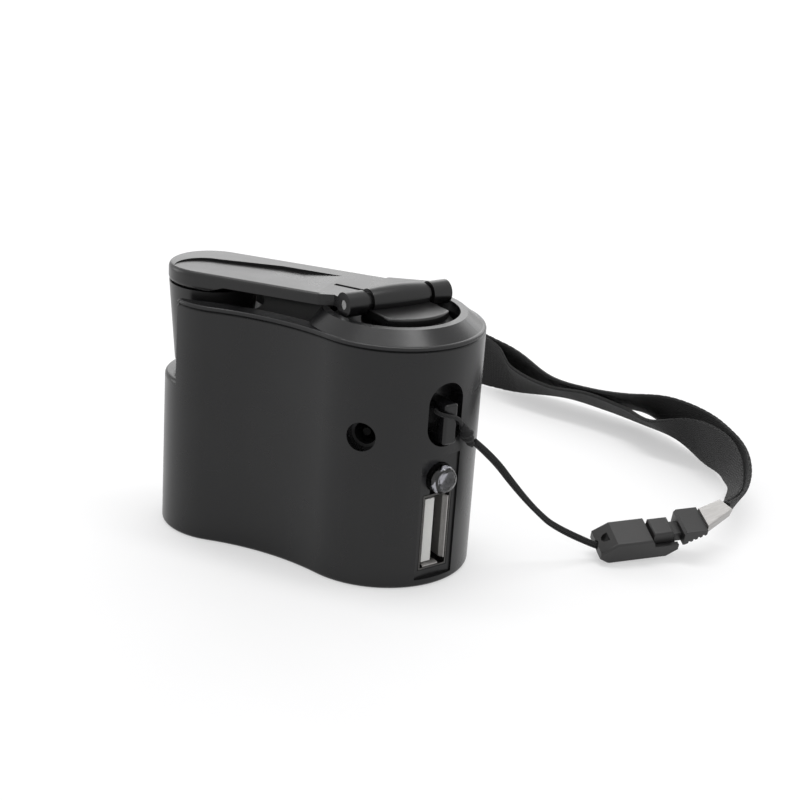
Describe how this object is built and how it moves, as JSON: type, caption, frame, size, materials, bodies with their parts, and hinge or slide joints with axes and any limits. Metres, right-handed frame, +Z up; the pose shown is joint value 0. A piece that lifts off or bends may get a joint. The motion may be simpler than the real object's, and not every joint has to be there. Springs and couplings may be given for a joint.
{
  "type": "hand crank phone charger",
  "caption": "Pear-shaped pocket charger on its flat base: folding crank with a knob on top, gear train and generator inside, USB-A socket and lamp at the wide end, wrist strap.",
  "frame": {"origin": "on the crank axis, at the flat bottom face of the housing", "axes": "+Z up along the crank axis; -X toward the narrow end where the knob is stowed; -Y toward the side with the round hole"},
  "size_m": [0.0955, 0.1012, 0.047],
  "materials": {
    "housing_plastic": "satin black ABS",
    "crank_plastic": "satin black ABS",
    "dark_plastic": "matt black",
    "cap_plastic": "natural nylon",
    "gear_plastic": "natural acetal",
    "socket_plastic": "light grey",
    "clasp_plastic": "satin black acetal",
    "board": "green laminate",
    "capacitor_sleeve": "dark sleeve",
    "steel": "plain",
    "bright_steel": "nickel plated",
    "zinc_steel": "zinc plated",
    "magnet": "dull",
    "brass": "turned",
    "copper": "copper",
    "gold_contacts": "gold plated",
    "clear_lens": "clear epoxy",
    "cord_textile": "black braided nylon",
    "strap_textile": "black woven nylon"
  },
  "bodies": {
    "housing": {"axle_washer": "steel", "board_capacitor": "capacitor_sleeve", "board_chip": "dark_plastic", "board_inductor": "copper", "case_screws": "steel", "circuit_board": "board", "clasp_plug": "clasp_plastic", "clasp_socket": "clasp_plastic", "first_gear_axle": "steel", "gear_plate": "dark_plastic", "generator_brushes": "copper", "generator_can": "zinc_steel", "generator_end_cap": "cap_plastic", "generator_magnets": "magnet", "jack_body": "dark_plastic", "jack_pin": "bright_steel", "lamp": "clear_lens", "lamp_leads": "bright_steel", "lanyard_cord": "cord_textile", "lanyard_knot": "cord_textile", "lanyard_loop": "cord_textile", "main_housing": "housing_plastic", "rotor_bush": "brass", "second_gear_axle": "steel", "strap_crimp": "bright_steel", "strap_ribbon": "strap_textile", "top_cover": "housing_plastic", "usb_contacts": "gold_contacts", "usb_shell": "bright_steel", "usb_tongue": "socket_plastic"},
    "rotor": {"crank_rotor": "crank_plastic", "rotor_screw": "steel", "input_gear": "gear_plastic"},
    "arm": {"crank_arm": "crank_plastic", "hinge_pin": "steel", "knob_axle": "steel"},
    "knob_body": {"knob": "crank_plastic"},
    "compound_1": {"first_compound_gear": "gear_plastic"},
    "compound_2": {"second_compound_gear": "gear_plastic"},
    "generator_rotor": {"generator_shaft": "steel", "generator_pinion": "brass", "generator_armature": "steel", "generator_windings": "copper", "generator_commutator": "copper"}
  },
  "joints": [
    {"name": "crank_turn", "type": "hinge", "parent": "housing", "child": "rotor", "pos_m": [0, 0, 0.0394], "axis": [0, 0, 1], "range_deg": [-2, 2]},
    {"name": "crank_fold", "type": "hinge", "parent": "rotor", "child": "arm", "pos_m": [0, 0, 0.0446], "axis": [0.5786, 0.8156, 0], "range_deg": [0, 172]},
    {"name": "knob_spin", "type": "hinge", "parent": "arm", "child": "knob_body", "pos_m": [-0.0322, 0, 0.0351], "axis": [0, 0, 1], "continuous": true},
    {"name": "compound_1_spin", "type": "hinge", "parent": "housing", "child": "compound_1", "pos_m": [-0.0121, 0, 0.035], "axis": [0, 0, 1], "range_deg": [-6, 6]},
    {"name": "compound_2_spin", "type": "hinge", "parent": "housing", "child": "compound_2", "pos_m": [0, 0, 0.0325], "axis": [0, 0, 1], "range_deg": [-18, 18]},
    {"name": "generator_spin", "type": "hinge", "parent": "housing", "child": "generator_rotor", "pos_m": [-0.0116, 0, 0.02], "axis": [0, 0, 1], "range_deg": [-64.8, 64.8]}
  ],
  "couplings": [
    {"joint": "compound_1_spin", "follows": "crank_turn", "ratio": -3},
    {"joint": "compound_2_spin", "follows": "crank_turn", "ratio": 9},
    {"joint": "generator_spin", "follows": "crank_turn", "ratio": -32.4}
  ]
}
